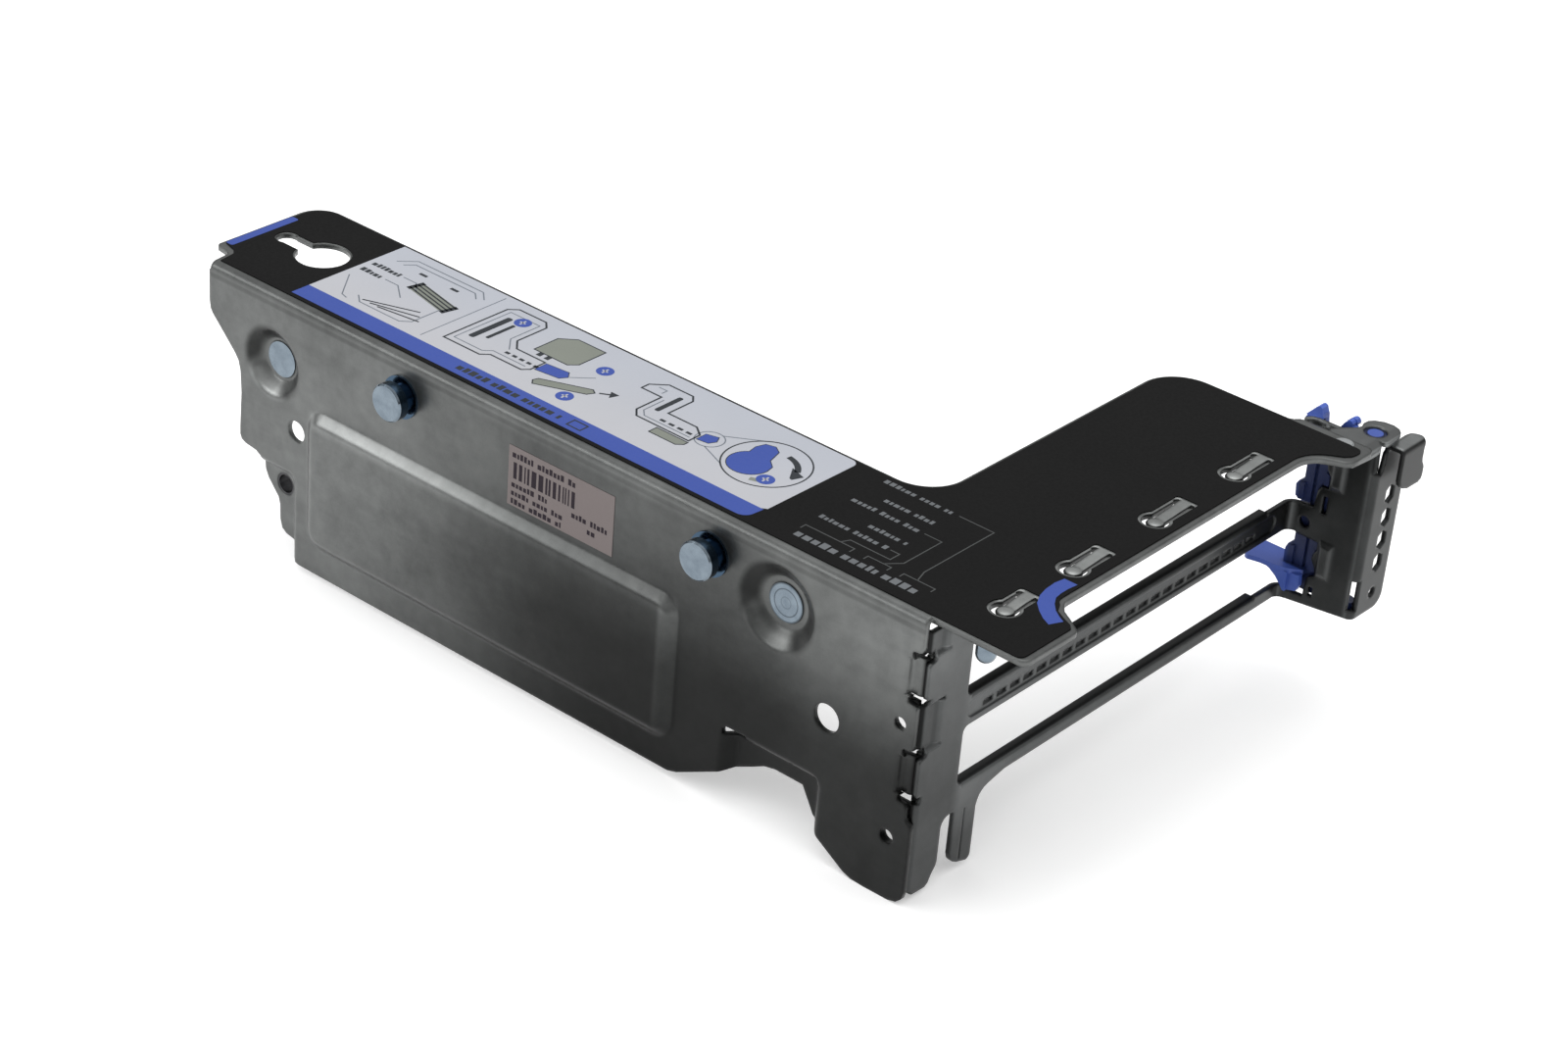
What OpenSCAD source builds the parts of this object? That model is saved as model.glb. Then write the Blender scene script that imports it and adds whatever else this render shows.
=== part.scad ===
// Riser cage bracket: a folded sheet-metal cage that carries expansion cards above a server board.
// Millimetres, +Z up. The origin is the corner where the outer face of the side wall (y = 0),
// the outer face of the slot bars (x = 0) and the upper face of the top plate (z = 0) meet.
// +X points to the slot end, +Y across the cage, away from the side wall.

/* [Sheet] */
// Thickness of the folded main sheet
sheet_t = 1.2; // [1.0:0.05:1.3]
// Depth of the long panel pressed out of the side wall
panel_depth = 2.0; // [1.2:0.1:2.4]
// Depth of the two round dimples in the side wall
dimple_depth = 2.9; // [2.2:0.1:3.0]
// Height of the side wall below the top plate
wall_h = 62.1; // [61:0.1:63]

/* [Studs] */
// Reach of the shoulder studs out of the side wall
stud_reach = 4.4; // [3.6:0.1:6]
// Radius of the stud heads
stud_head_r = 4.15; // [3.6:0.05:4.6]

/* [Slots] */
// Spacing of the small holes along the bar between the two slots
vent_pitch = 4.22; // [3.8:0.02:4.3]
// Width of each small hole
vent_w = 3.1; // [1.5:0.1:3.3]

/* [Latch] */
// Radial running clearance of the latch pivot
pivot_gap = 0.05; // [0.02:0.01:0.1]
// Reach of the finger lever
lever_reach = 10.2; // [6:0.1:11]

/* [Label] */
// Thickness of the printed film
film_t = 0.2; // [0.1:0.05:0.4]

/* [Hidden] */
$fn = 64;
rt = 1.0;              // rear sheet thickness
fold_r = 1.8;          // outer radius of the long fold
px = 14.8;             // latch pivot
py = 127.2;
tongues = [[10.3, 21.9], [31.3, 45.4], [57.9, 72.5], [85.0, 99.4]];
tongue_x = 6.1;
stud_z = -9.0;
stud_front_x = -136.9;
stud_rear_x = -53.2;
dimple_a = [-175.3, -16.6, 8.8];
dimple_b = [-36.0, -13.3, 10.2];

function arc(cx, cy, r, a0, a1, n = 8) =
    [for (i = [0 : n]) let (a = a0 + (a1 - a0) * i / n) [cx + r * cos(a), cy + r * sin(a)]];

// prism with an (x,z) outline, between y0 and y1
module yprism(y0, y1) { translate([0, y1, 0]) rotate([90, 0, 0]) linear_extrude(y1 - y0) children(); }
// prism with a (y,z) outline, between x0 and x1
module xprism(x0, x1) { translate([x0, 0, 0]) rotate([90, 0, 90]) linear_extrude(x1 - x0) children(); }
module zprism(z0, z1) { translate([0, 0, z0]) linear_extrude(z1 - z0) children(); }

module rrect(x0, x1, y0, y1, r) {
    translate([x0 + r, y0]) square([x1 - x0 - 2 * r, y1 - y0]);
    translate([x0, y0 + r]) square([x1 - x0, y1 - y0 - 2 * r]);
    for (x = [x0 + r, x1 - r], y = [y0 + r, y1 - r]) translate([x, y]) circle(r);
}

// ---- pressed steps: a sheet stepping by h over the width w, with rounded creases ----
function st(w, h) = atan2(h, w);
function tl(w, h, r) = r * tan(st(w, h) / 2);
r_hi = 1.6;
r_lo = 0.6;
lap = 0.12;             // flats of neighbouring pieces overlap by this much
function step_w(w, h, rl = r_lo) = w + tl(w, h, rl);
function step_in(w, h, rh = r_hi) = tl(w, h, rh);
function step_pts(w, h, t, ti, to, rh = r_hi, rl = r_lo) = let (a = st(w, h), p = tl(w, h, rh), q = tl(w, h, rl)) concat(
    [[-p - ti, -h]],
    [for (i = [0 : 4]) let (b = a * i / 4) [-p + rh * sin(b), -h + rh - rh * cos(b)]],
    [for (i = [4 : -1 : 0]) let (b = a * i / 4) [w + q - rl * sin(b), -rl + rl * cos(b)]],
    [[w + q + to, 0], [w + q + to, t]],
    [for (i = [0 : 4]) let (b = a * i / 4) [w + q - (rl + t) * sin(b), -rl + (rl + t) * cos(b)]],
    [for (i = [4 : -1 : 0]) let (b = a * i / 4) [-p + (rh - t) * sin(b), -h + rh - (rh - t) * cos(b)]],
    [[-p - ti, -h + t]]);
function flip(pts, t, inward) = [for (p = pts) [p[0], inward ? t - p[1] : p[1]]];

module step_side(x0, z0, len, turn, pts) {
    translate([x0, 0, z0]) rotate([0, turn, 0]) linear_extrude(len) polygon(pts);
}
module step_corner(cx, cz, a0, rad, pts) {
    translate([cx, 0, cz]) rotate([-90, 0, 0]) rotate([0, 0, a0]) rotate_extrude(angle = 90)
        polygon([for (p = pts) [p[0] + rad, p[1]]]);
}
// pressed rectangle with its outer crease on x0..x1, z0..z1
module pressed(x0, x1, z0, z1, rc, w, h, inward, corners = [0, 90, 180, 270], rh = r_hi, rl = r_lo) {
    t = sheet_t;
    pts = flip(step_pts(w, h, t, 0.25, 0.25, rh, rl), t, inward);
    W = step_w(w, h, rl);
    P = step_in(w, h, rh);
    ri = rc - W - P;
    step_side(x1 - W, z0 + rc, z1 - z0 - 2 * rc, 0, pts);
    mirror([1, 0, 0]) step_side(-x0 - W, z0 + rc, z1 - z0 - 2 * rc, 0, pts);
    step_side(x1 - rc, z1 - W, x1 - x0 - 2 * rc, -90, pts);
    step_side(x0 + rc, z0 + W, x1 - x0 - 2 * rc, 90, pts);
    for (a = corners)
        step_corner((a == 0 || a == 270) ? x1 - rc : x0 + rc, (a < 135) ? z0 + rc : z1 - rc, a, rc - W, pts);
    y0 = inward ? h : -h;
    yprism(y0, y0 + t) rrect(x0 + W + P + lap, x1 - W - P - lap, z0 + W + P + lap, z1 - W - P - lap, ri - lap);
}
module dimple(d, w, hole_r) {
    t = sheet_t;
    W = step_w(w, dimple_depth, 1.3);
    P = step_in(w, dimple_depth, 1.9);
    pts = flip(step_pts(w, dimple_depth, t, 0.25, 0.25, 1.9, 1.3), t, true);
    translate([d[0], 0, d[1]]) rotate([-90, 0, 0]) rotate_extrude() polygon([for (p = pts) [p[0] + d[2] - W, p[1]]]);
    translate([d[0], 0, d[1]]) rotate([-90, 0, 0]) difference() {
        translate([0, 0, dimple_depth]) cylinder(r = d[2] - W - P - lap, h = t);
        translate([0, 0, dimple_depth - 1]) cylinder(r = hole_r, h = t + 2);
    }
}

// ---- main bracket ----
wall_outline = concat([[-194.7, -1.8], [-194.7, -9], [-194.4, -10.8], [-193.8, -11.8], [-190.1, -15.3],
    [-186.7, -18.6], [-185.7, -20.0], [-185.1, -22.2], [-184.8, -27.3], [-185.2, -35.6], [-185.2, -37.4], [-184.7, -38.5],
    [-183.5, -39.0], [-180.2, -39.4], [-178.9, -40.2], [-178.6, -41.8], [-178.4, -43.6], [-177.5, -45.4], [-175.8, -47.3],
    [-174.4, -48.8], [-173.9, -50.4], [-173.8, -54.0], [-173.2, -56.0], [-171.9, -56.9], [-169.6, -57.3], [-168.5, -58.1],
    [-168.4, -61.0], [-167.9, -wall_h + 0.3], [-166.6, -wall_h], [-162.1, -wall_h], [-60, -wall_h],
    [-57.6, -61.4], [-48.2, -56.6], [-40, -52.5], [-37.6, -51.2], [-35, -50.6], [-27.9, -50.6],
    [-26.9, -52.3], [-24.8, -56], [-22, -58.2], [-14.6, -62.8], [-12.6, -63.5], [-9.4, -63.7],
    [-3.4, -63.6], [-1.4, -63.1], [-0.3, -62.1], [0.15, -60.5], [0.15, -46.0], [-0.1, -45.3], [-0.9, -44.7], [-1.35, -43.9],
    [-1.35, -41.8], [-1.8, -41.15]],
    arc(-2.95, -40.15, 0.85, 270, 90, 8), [[-4.7, -39.3], [-4.7, -30.75]],
    arc(-2.95, -29.9, 0.85, 270, 90, 8), [[-2.0, -29.0], [-1.5, -28.8], [-1.35, -28.3], [-1.35, -20.0], [-1.6, -19.4]],
    arc(-2.95, -18.35, 0.85, 270, 90, 8), [[-4.7, -17.5], [-4.7, -9.35]],
    arc(-2.95, -8.5, 0.85, 270, 90, 8), [[-2.0, -7.6], [-1.5, -7.3], [-1.35, -6.7], [-1.35, -1.8]]);

top_outline = concat([[-194.4, 1.8], [-1.35, 1.8], [-1.35, 1.5], [18.2, 1.5]], arc(18.2, 3.3, 1.8, -90, 0, 5),
    arc(18.2, 16.4, 1.8, 0, 62, 4), [[16.2, 19.9], [14.2, 21.1]], arc(15.2, 24.6, 3.0, 222, 180, 4),
    arc(19.2, 102, 7.0, 180, 128, 6), arc(16.4, 112.0, 3.6, -52, 0, 4), arc(18.4, 116.7, 1.6, 0, 90, 5),
    [[3.2, 118.3], [2.2, 118.0], [1.4, 117.0], [0.4, 116.5]], arc(-19.4, 107, 9.4, 90, 180, 14),
    arc(-37.8, 45.5, 9.0, 0, -90, 12), arc(-193.5, 30.3, 6.2, 90, 180, 10),
    [[-199.7, 7.2], [-199.2, 6.5], [-196, 6], [-194.8, 5.2]]);

module tongue_opening(y0, y1) {
    translate([tongue_x, y0 + 3.35]) circle(2.75);
    translate([tongue_x - 2.0, y0 + 3.35]) square([4.0, y1 - y0 - 4.95]);
    for (s = [-1, 1]) translate([tongue_x + s * 1.5, y1 - 1.6]) circle(0.85);
}
module keyhole(g) {
    translate([-181.2, 19.7]) circle(5.9 + g);
    translate([-192.4, 19.9]) circle(2.3 + g);
    translate([-192.4, 17.8 - g]) square([11, 4.2 + 2 * g]);
}
module tongue(y0, y1) {
    x0 = tongue_x - 1.25;
    xprism(x0, x0 + 2.5) polygon([[y1 - 0.6, 0], [y1 - 0.6, -1.0], [y1 - 3, -1.05], [y0 + 4.9, -1.35], [y0 + 4.0, -1.35],
        [y0 + 4.0, -0.5], [y0 + 4.9, -0.45], [y1 - 3, -0.08], [y1 - 1.8, 0]]);
    // domed tip
    translate([tongue_x, y0 + 3.55, 0]) rotate_extrude() polygon([[0, -1.3], [1.4, -1.3], [1.85, -1.0], [1.9, -0.75], [1.75, -0.5],
        [1.35, -0.3], [0.7, -0.16], [0, -0.12]]);
}

// finger joint of the corner: the wall dips by its own thickness and turns in behind the post
tab_xy = concat([[-5.4, 0], [-4.6, 0], [-4.35, 0.15], [-4.0, 1.0], [-3.7, 1.25]], arc(-2.3, 2.55, 1.3, -90, 0, 6),
    [[-1.0, 8.5], [-2.2, 8.5], [-2.2, 2.6], [-2.4, 2.45], [-3.85, 2.45], [-4.6, 2.15], [-5.0, 1.35], [-5.4, 1.2]]);

module wall_plate() {
    t = sheet_t;
    yprism(0, t) difference() {
        polygon(wall_outline);
        rrect(-164.7 - lap, -58.8 + lap, -55.9 - lap, -21.5 + lap, 5.5 + lap);
        rrect(-47.5 - lap, -21.3 + lap, -75, -44.4 + lap, 3.6 + lap);
        rrect(-195, -167.4 + lap, -75, -39.8 + lap, 3.0 + lap);
        translate([dimple_a[0], dimple_a[1]]) circle(dimple_a[2] + lap);
        translate([dimple_b[0], dimple_b[1]]) circle(dimple_b[2] + lap);
        translate([-167.8, -29.9]) circle(2.5);
        translate([-21.9, -31.3]) circle(3.1);
        translate([-4.8, -24.2]) circle(1.4);
        translate([-5.2, -49.9]) circle(1.6);
        translate([stud_front_x, stud_z]) circle(2.5);
        translate([stud_rear_x, stud_z]) circle(2.5);
    }
    intersection() {
        union() {
            pressed(-47.5, -21.3, -75, -44.4, 3.6, 2.0, 2.5, true, [180, 270]);
            pressed(-195, -167.4, -75, -39.8, 3.0, 1.2, 1.2, true, [270]);
        }
        difference() {
            yprism(-1, 6) polygon(wall_outline);
            translate([-172.2, 0, -44.8]) rotate([-90, 0, 0]) cylinder(r = 2.6, h = 12, center = true);
            translate([-46.9, -2, -47.0]) cube([5.9, 8, 2.2]);
            for (x = [-29.5, -23.4]) translate([x, 0, -46.2]) rotate([-90, 0, 0]) cylinder(r = 0.8, h = 14, center = true);
        }
    }
    pressed(-164.7, -58.8, -55.9, -21.5, 5.5, 2.6, panel_depth, false, [0, 90, 180, 270], 2.5, 1.4);
    dimple(dimple_a, 3.0, 4.0);
    dimple(dimple_b, 3.9, 4.15);
    // drawn collar of the lowest screw hole
    translate([-5.2, 0, -49.9]) rotate([-90, 0, 0]) difference() {
        cylinder(r = 2.2, h = 2.0);
        translate([0, 0, -1]) cylinder(r = 1.6, h = 5);
    }
}

module main_bracket() color([0.62, 0.64, 0.65]) {
    t = sheet_t;
    difference() {
        union() {
            wall_plate();
            // long fold
            xprism(-194.4, -1.35) polygon(concat(arc(fold_r, -fold_r, fold_r, 90, 180, 8),
                arc(fold_r, -fold_r, fold_r - t, 180, 90, 8)));
            // top plate
            difference() {
                zprism(-t, 0) difference() {
                    polygon(top_outline);
                    keyhole(0);
                    for (k = tongues) tongue_opening(k[0], k[1]);
                    translate([14.0, 116.0]) circle(1.2);
                }
                translate([14.0, 116.0, -0.6]) cylinder(r = 2.1, h = 2);
            }
            for (k = tongues) tongue(k[0], k[1]);
            for (z = [[-17.45, -9.3], [-39.3, -30.7]]) zprism(z[0], z[1]) polygon(tab_xy);
            zprism(-18.2, -8.95) translate([-2.2, 2.6]) square([1.2, 5.9]);
            zprism(-44.9, -30.2) translate([-2.2, 2.6]) square([1.2, 5.9]);
        }
        translate([-4.8, 0, -24.2]) rotate([-90, 0, 0]) cylinder(r = 1.4, h = 8, center = true);
        translate([-5.2, 0, -49.9]) rotate([-90, 0, 0]) cylinder(r = 1.6, h = 12, center = true);
    }
}

// ---- rear bracket ----
post_yz = concat([[7.0, -1.2], [7.0, -8.7]], arc(2.25, -8.7, 0.85, 0, -90, 4), [[1.4, -9.65], [0.95, -10.2], [0.95, -16.8],
    [1.25, -17.4]], arc(1.9, -18.35, 0.85, 90, 0, 4), [[2.75, -18.5], [7.0, -18.5], [7.0, -29.9]], arc(2.25, -29.9, 0.85, 0, -90, 4),
    [[1.4, -30.85], [0.95, -31.4], [0.95, -38.6], [1.25, -39.2]], arc(1.9, -40.15, 0.85, 90, 0, 4), [[2.5, -40.8],
    [2.5, -61.9], [3.2, -62.3], [7.1, -62.5], [8.0, -61.9], [8.9, -60.2], [9.9, -58.9], [10.2, -58.0]],
    arc(12.4, -50.4, 2.2, 180, 90, 6), arc(13.3, -49.1, 0.9, 90, 0, 4),
    [[14.2, -58.4], [14.6, -59.7], [15.4, -60.6], [16.8, -61.4], [19.3, -62.2]], arc(19.9, -61.2, 1.2, 270, 360, 5),
    [[21.1, -50.2], [21.4, -49.1], [21.9, -48.1], [22.6, -47.4], [23.4, -46.9], [24.6, -46.5], [27.0, -46.0], [29.5, -45.5]],
    [[122.3, -45.5], [122.3, -43.7], [121.4, -43.7]],
    [[15.4, -43.7]], arc(15.4, -41.02, 1.5, 270, 180, 4), arc(15.4, -30.5, 1.5, 180, 90, 4),
    [[122.3, -29.0], [122.3, -23.4], [15.4, -23.4]], arc(15.4, -20.7, 1.5, 270, 180, 4), [[13.9, -1.2]]);

module bar_flange(zt, y0, y1, depth = 2.4) {
    yprism(y0, y1) polygon(concat([[0, zt - 1.25]], arc(-1.2, zt - 1.2, 1.2, 0, 90, 5),
        [[-depth, zt], [-depth, zt - 1.0], [-1.2, zt - 1.0]], [[-1.0, zt - 1.25]]));
}
// the post dips inwards and turns in behind the wall
post_dip = [[0, 7.2], [0, 6.5], [-0.12, 6.0], [-0.6, 5.4], [-0.8, 4.9]];
post_dip_in = [[-1.8, 4.9], [-1.6, 5.6], [-1.12, 6.4], [-1.0, 6.8], [-1.0, 7.2]];
module post_tab(z0, z1, f0, f1) {
    zprism(z0, z1) polygon(concat(post_dip, arc(-2.0, 2.4, 1.2, 0, -90, 6),
        [[-10, 1.2], [-10, 2.2], [-2.0, 2.2]], [[-1.8, 2.4]], post_dip_in));
    zprism(f0, f1) translate([-10, 1.2]) square([8.0, 1.0]);
}
module inner_bend(z0, z1) {
    zprism(z0, z1) polygon(concat(arc(2.0, 122.3, 2.0, 180, 90, 6), arc(2.0, 122.3, 3.0, 90, 180, 6)));
}
module outer_bend(z0, z1) {
    zprism(z0, z1) polygon(concat(arc(16.6, 126.0, 1.7, -90, 0, 6), arc(16.6, 126.0, 0.7, 0, -90, 6)));
}
jog_xz = [[2.0, -2.2], [17.6, -2.2], [17.9, -8.4], [17.6, -9.1], [17.0, -9.3], [16.6, -9.4], [16.6, -43.8], [2.0, -45.4], [2.0, -43.2], [6.1, -43.2],
    [6.2, -41.1], [6.4, -38.4], [8.0, -37.5], [8.2, -36.9], [7.9, -35.6], [6.8, -33.7], [7.2, -32.2], [7.7, -31.4],
    [7.7, -29.4], [2.0, -29.2], [2.0, -22.2], [5.2, -22.0], [5.7, -17.7], [6.2, -16.8], [8.1, -16.6], [8.1, -13.6],
    [7.2, -12.4], [6.9, -11.3], [6.9, -4.4], [2.0, -4.4]];
ear_xy = concat([[0.2, 100], [19.0, 112], [19.6, 118.2], [19.6, 120.6], [19.3, 121.9], [18.8, 123.1], [18.1, 123.7], [17.5, 124.15], [17.6, 124.55],
    [18.4, 124.5], [19.1, 124.75], [19.35, 125.6], [19.25, 127.4], [19.05, 129.3], [18.6, 130.8], [17.6, 131.9], [15.9, 132.5], [13.8, 132.3], [12.0, 131.3],
    [11.15, 130.1], [11.05, 128.5], [11.5, 127.2], [11.3, 126.1], [9.6, 124.2], [7.7, 121.4], [7.0, 120.7], [1.7, 120.3], [0.5, 119.4], [0.2, 118.8]]);

// vertical bead pressed forward out of the jog
module rib(x, z0, z1) {
    intersection() {
        translate([0, 0, z0]) linear_extrude(z1 - z0) polygon([[x - 2.1, 125.0], [x - 1.5, 124.0], [x - 1.1, 123.6], [x + 0.9, 123.5], [x + 1.3, 123.7],
            [x + 1.8, 124.4], [x + 1.9, 125.0]]);
        xprism(x - 3, x + 3) polygon([[125.0, z0], [125.0, z1], [124.2, z1], [123.5, z1 - 1.2], [123.5, z0 + 1.2], [124.2, z0]]);
    }
}

module rear_bracket() color([0.6, 0.62, 0.63]) {
    difference() {
        union() {
            xprism(-rt, 0) polygon(post_yz);
            post_tab(-7.8, -3.3, -8.6, -3.3);
            post_tab(-28.9, -19.4, -29.6, -18.65);
            zprism(-3.4, -1.2) polygon(concat(post_dip, post_dip_in));
            // lower end of the post, bent back behind the wall
            zprism(-61.3, -41.2) polygon(concat([[0, 2.7]], arc(-1.25, 2.5, 1.25, 0, -90, 6), [[-2.9, 1.25], [-2.9, 2.25]],
                arc(-1.25, 2.5, 0.25, -90, 0, 2), [[-1.0, 2.7]]));
            zprism(-47.3, -41.2) translate([-6.0, 1.25]) square([3.2, 1.0]);
            // the dips run out above and below
            yprism(3.1, 7.1) polygon([[-0.8, -7.6], [0, -8.6], [0, -8.9], [-1, -8.9], [-1.8, -7.9], [-1.8, -7.6]]);
            yprism(2.75, 7.1) polygon([[0, -18.3], [0, -18.6], [-0.8, -19.6], [-1.8, -19.6], [-1.8, -19.3], [-1, -18.3]]);
            yprism(3.1, 7.1) polygon([[-0.8, -28.8], [0, -29.8], [0, -30.1], [-1, -30.1], [-1.8, -29.1], [-1.8, -28.8]]);
            bar_flange(-22.2, 15.4, 115.5);
            bar_flange(-42.52, 15.4, 115.5);
            translate([-rt, 115.5, -23.4]) cube([rt, 6.8, 1.2]);
            translate([-rt, 115.5, -43.7]) cube([rt, 6.8, 1.18]);
            // back of the long shallow groove
            xprism(-rt - 0.35, -rt + 0.1) rrect(15.2, 118.4, -27.5, -23.6, 1.9);
            inner_bend(-29.0, -22.2);
            inner_bend(-45.45, -42.52);
            yprism(124.3, 125.3) difference() {
                polygon(jog_xz);
                translate([7.1, -22.6]) square([1.2, 4.2]);
                translate([3.7, -26.1]) circle(1.3);
                translate([7.2, -42.4]) square([1.1, 2.2]);
            }
            rib(9.9, -16.2, -3.6);
            rib(9.9, -37.2, -28.6);
            outer_bend(-34.7, -9.3);
            outer_bend(-43.8, -42.1);
            // flange with its row of six-sided openings
            xprism(17.3, 18.3) difference() {
                polygon(concat([[127.5, -4.5], [127.1, -4.7], [127.0, -5.0], [126.3, -9.3], [126.0, -9.3], [126.0, -43.8]],
                    arc(132.9, -40.9, 3.0, -90, 0, 5), [[135.9, -12], [135.5, -4.5]]));
                for (z = [-15.8, -21.3, -26.8, -32.2]) translate([131.4, z])
                    polygon([[-1.6, -1.25], [0, -2.3], [1.6, -1.25], [1.6, 1.25], [0, 2.3], [-1.6, 1.25]]);
                translate([131.3, -39.5]) circle(1.25);
            }
            // hook
            intersection() {
                yprism(127, 137) polygon(concat(arc(18.9, -4.5, 1.6, 180, 90, 6), [[20.7, -2.9]], arc(20.8, -4.1, 1.2, 90, 0, 5), [[22, -4.7], [21, -4.7],
                    [21, -4.1], [20.7, -3.9]], arc(18.9, -4.5, 0.6, 90, 180, 3), [[18.3, -4.7], [17.3, -4.7]]));
                zprism(-6, 0) polygon([[17, 127.5], [22.5, 127.6], [22.5, 135.7], [20.5, 136.2], [19.4, 135.9], [18.5, 135.3], [18.0, 134.6], [17, 134.2]]);
            }
            xprism(21, 22) polygon([[127.6, -4.5], [127.6, -10.2], [128.1, -11.3], [129.2, -12.2], [131.2, -12.9], [135.4, -13],
                [136.4, -12.6], [136.8, -11.8], [136.8, -9.9], [136.4, -9.1], [135.9, -8.4], [135.7, -7.6], [135.7, -4.5]]);
            // ear with the pivot hole, running back under the top plate
            zprism(-2.2, -1.2) difference() {
                polygon(ear_xy);
                translate([px, py]) circle(2.5);
                translate([14.0, 116.0]) circle(1.2);
            }
            // lip standing up at the edge of the ear
            zprism(-2.2, -0.25) polygon([[2.2, 119.8], [2.3, 120.4], [3.1, 121.5], [4.6, 122.0], [6.0, 121.9], [7.3, 121.3], [8.1, 120.4], [8.1, 119.8],
                [7.3, 119.8], [7.2, 120.3], [6.6, 120.8], [5.7, 121.1], [4.7, 121.1], [3.7, 120.7], [3.1, 120.1], [3.1, 119.8]]);
            // lower bearing tab
            zprism(-43.6, -42.6) difference() {
                polygon([[11, 124.8], [16.8, 124.8], [16.8, 127.2], [16.8, 129.4], [15.6, 130.6], [13, 130.6], [11, 129.0]]);
                translate([px, py]) circle(1.5);
            }
        }
        // long shallow groove in the bar between the slots, and its row of holes
        xprism(-0.35, 1) rrect(14.6, 119.0, -27.7, -23.6, 1.95);
        for (k = [0 : 21]) translate([-3, 21.5 + vent_pitch * (k - 0) - vent_w / 2, -26.9]) cube([6, vent_w, 1.15]);
        // clearance hole behind the screw hole of the wall
        translate([-4.8, 0.5, -24.2]) rotate([-90, 0, 0]) cylinder(r = 2.1, h = 3);
        // scored line of the finger
        translate([-0.2, 17.3, -61]) cube([1, 0.4, 12]);
    }
}

// ---- small parts ----
module top_label() color([0.12, 0.12, 0.12])
    zprism(0, film_t) difference() {
        polygon(concat([[-193.3, 1.9], [17.2, 1.9]], arc(17.2, 3.4, 1.5, -90, 0, 4), [[18.7, 16.9], [17.8, 17.9], [15.6, 18.9], [13.3, 20.2]],
            arc(14.2, 24.8, 3.2, 232, 180, 4), arc(19.3, 102.2, 8.3, 180, 130, 6), [[15.2, 109.5], [17.4, 110.9], [18.4, 112.2], [18.7, 113.6]],
            arc(17.2, 114.5, 1.5, 0, 90, 4), [[16, 116.0], [2, 116.0]], arc(-19.4, 107, 8.8, 90, 180, 14), arc(-37.8, 45.5, 9.6, 0, -90, 12),
            arc(-193.4, 30.4, 5.5, 90, 180, 10), [[-198.9, 8.4], [-195.4, 7.4], [-193.9, 6.0]]));
        keyhole(0.35);
        for (k = tongues) {
            translate([tongue_x, k[0] + 3.35]) circle(3.4);
            rrect(tongue_x - 2.5, tongue_x + 2.5, k[0] + 3.35, k[1], 0.7);
        }
    }
module side_label() color([0.75, 0.74, 0.73])
    translate([-106.3, -0.1, -20.6]) cube([28.5, 0.1, 13.5]);

module stud(x) {
    translate([x, 0, stud_z]) rotate([90, 0, 0]) {
        translate([0, 0, -sheet_t - 0.5]) cylinder(r = 2.5, h = sheet_t + 1);
        cylinder(r = 4.7, h = 0.45);
        cylinder(r = 3.1, h = stud_reach - 1);
        translate([0, 0, stud_reach - 2.3]) cylinder(r = stud_head_r, h = 1.95);
        translate([0, 0, stud_reach - 0.36]) cylinder(r1 = stud_head_r, r2 = stud_head_r - 0.36, h = 0.36);
    }
}
module stud_front() color([0.7, 0.75, 0.8]) stud(stud_front_x);
module stud_rear() color([0.7, 0.75, 0.8]) stud(stud_rear_x);

module standoff(d, r) {
    translate([d[0], 0, d[1]]) rotate([-90, 0, 0]) difference() {
        union() {
            translate([0, 0, dimple_depth - 0.15]) cylinder(r = r, h = sheet_t + 0.15);
            translate([0, 0, dimple_depth + sheet_t]) cylinder(r = 2.7, h = 5.2);
        }
        translate([0, 0, dimple_depth + 1]) cylinder(r = 1.25, h = 12);
    }
}
module standoff_front() color([0.72, 0.77, 0.82]) standoff(dimple_a, 4.0);
module standoff_rear() color([0.72, 0.77, 0.82]) standoff(dimple_b, 4.15);

module clinch_nut() color([0.3, 0.31, 0.32])
    translate([-172.2, 0, -44.8]) rotate([-90, 0, 0]) difference() {
        union() {
            translate([0, 0, 1.3]) cylinder(r = 2.6, h = 2);
            translate([0, 0, 1.2 + sheet_t]) cylinder(r = 3.7, h = 2.2);
        }
        cylinder(r = 2.1, h = 9);
    }
module locating_pin() color([0.72, 0.77, 0.8])
    translate([8, 6.4, 0]) {
        translate([0, 0, -5.4]) cylinder(r = 2.0, h = 5.4 - sheet_t);
        intersection() {
            translate([0, 0, -5.4]) sphere(2.0);
            translate([0, 0, -8.4]) cylinder(r = 3, h = 3.1);
        }
    }
module ear_rivet() color([0.7, 0.72, 0.73])
    translate([14.0, 116.0, 0]) {
        translate([0, 0, -0.6]) cylinder(r = 2.1, h = 0.6);
        translate([0, 0, -2.6]) cylinder(r = 1.2, h = 2.2);
        translate([0, 0, -2.8]) cylinder(r = 1.9, h = 0.6);
        intersection() {
            translate([0, 0, -0.1]) cylinder(r1 = 2.1, r2 = 1.7, h = 0.35);
            translate([-3, 0.05, -0.2]) cube([6, 3, 1]);
        }
    }

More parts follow.
